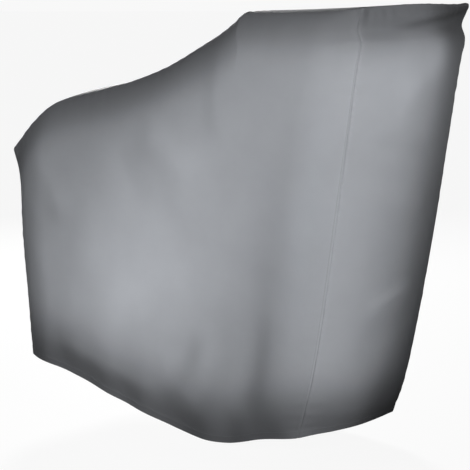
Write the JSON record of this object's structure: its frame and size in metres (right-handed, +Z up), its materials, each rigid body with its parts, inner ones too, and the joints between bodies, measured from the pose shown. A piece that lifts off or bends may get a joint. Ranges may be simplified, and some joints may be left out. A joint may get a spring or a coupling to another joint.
{
  "type": "exercise bike cover",
  "caption": "Fitted grey cloth cover for an exercise bike, sewn from flat-cut panels, hollow and open at the hem, tall at the front and sloping down over the saddle end.",
  "frame": {"origin": "under the middle of the top panel, where the cover rests on what it covers (mount top_support)", "axes": "+Z up, +X towards the tall front end, +Y towards the cover's left side, which faces away from the camera"},
  "size_m": [1.2097, 0.6076, 1.1238],
  "materials": {
    "cover_cloth": "satin woven cloth, slightly bluish mid grey",
    "sewing_thread": "matt thread, darker grey than the cloth"
  },
  "bodies": {
    "root": {"right_side_panel": "cover_cloth", "left_side_panel": "cover_cloth", "front_panel": "cover_cloth", "top_panel": "cover_cloth", "slope_panel": "cover_cloth", "back_panel": "cover_cloth"}
  },
  "joints": []
}
